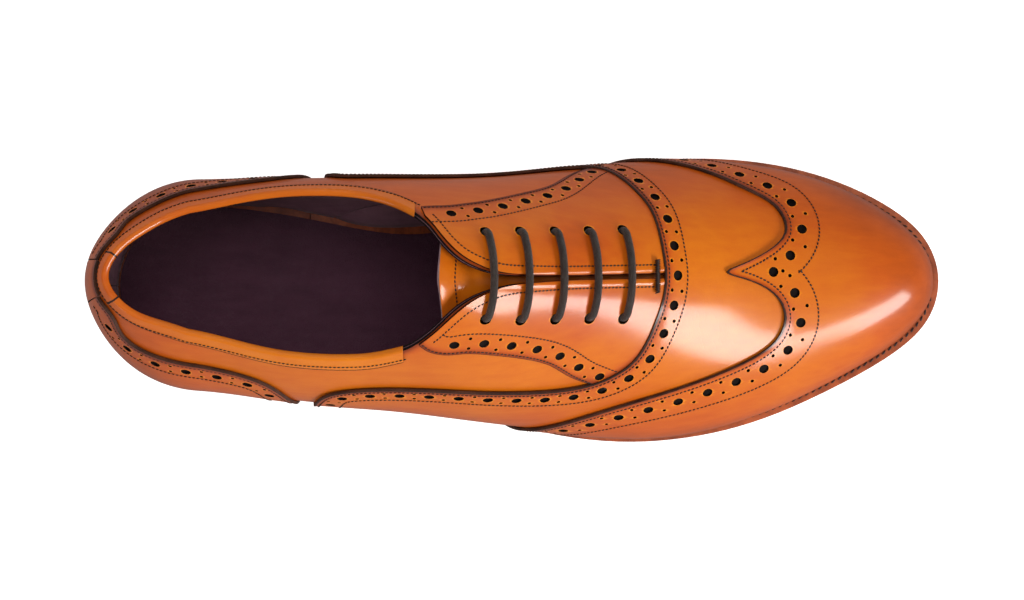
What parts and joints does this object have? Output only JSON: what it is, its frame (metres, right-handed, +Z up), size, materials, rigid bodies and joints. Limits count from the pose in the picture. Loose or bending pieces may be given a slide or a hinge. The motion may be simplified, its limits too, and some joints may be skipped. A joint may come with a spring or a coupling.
{
  "type": "leather oxford shoe",
  "caption": "Right-foot leather oxford with winged toe cap, closed lacing, pierced bands, welted leather sole and stacked heel; the tongue drops on a hinge.",
  "frame": {"origin": "on the ground, under the middle of the shoe's length and width", "axes": "+X towards the toe, +Y towards the inner (medial) side of the foot, +Z up"},
  "size_m": [0.3006, 0.1025, 0.0975],
  "materials": {
    "tan_calf": "burnished, waxed calf with a soft gloss",
    "dark_calf": "burnished darker towards the toe and heel",
    "lining_leather": "matt lining leather, mauve",
    "sock_leather": "matt aubergine leather with a fine grain",
    "canvas": "woven cotton interlining",
    "board": "stiff fibre board",
    "sole_leather": "oak-bark sole leather, stained and polished edge",
    "stacked_leather": "stacked heel leather, stained",
    "rubber": "hard black rubber",
    "cork": "granulated cork and glue",
    "steel": "spring steel",
    "brass": "brass, polished",
    "waxed_cotton": "round waxed cotton, dark brown",
    "thread": "waxed linen thread, dark brown"
  },
  "bodies": {
    "shoe": {"outsole": "sole_leather", "welt": "sole_leather", "heel_rand": "sole_leather", "insole_rib": "canvas", "cork_filler": "cork", "steel_shank": "steel", "insole": "lining_leather", "sock_lining": "sock_leather", "heel_seat_lift": "stacked_leather", "heel_lift_2": "stacked_leather", "heel_lift_1": "stacked_leather", "heel_top_piece": "stacked_leather", "heel_rubber_tip": "rubber", "heel_nails": "brass", "toe_puff": "board", "heel_stiffener": "board", "vamp_interlining": "canvas", "vamp_lining": "lining_leather", "quarter_lining_medial": "lining_leather", "quarter_lining_lateral": "lining_leather", "quarter_medial": "tan_calf", "quarter_lateral": "tan_calf", "vamp": "tan_calf", "wing_cap": "dark_calf", "facing_medial": "tan_calf", "facing_lateral": "tan_calf", "counter_medial": "dark_calf", "counter_lateral": "dark_calf", "back_strip": "dark_calf", "topline_binding": "tan_calf", "eyelets": "brass", "lace": "waxed_cotton", "lace_tips": "waxed_cotton", "throat_bartack": "thread"},
    "tongue": {"tongue": "tan_calf", "tongue_lining": "lining_leather"}
  },
  "joints": [
    {"name": "tongue_hinge", "type": "hinge", "parent": "shoe", "child": "tongue", "pos_m": [0.0525, 0.006, 0.053], "axis": [0, -1, 0], "range_deg": [0, 15]}
  ]
}
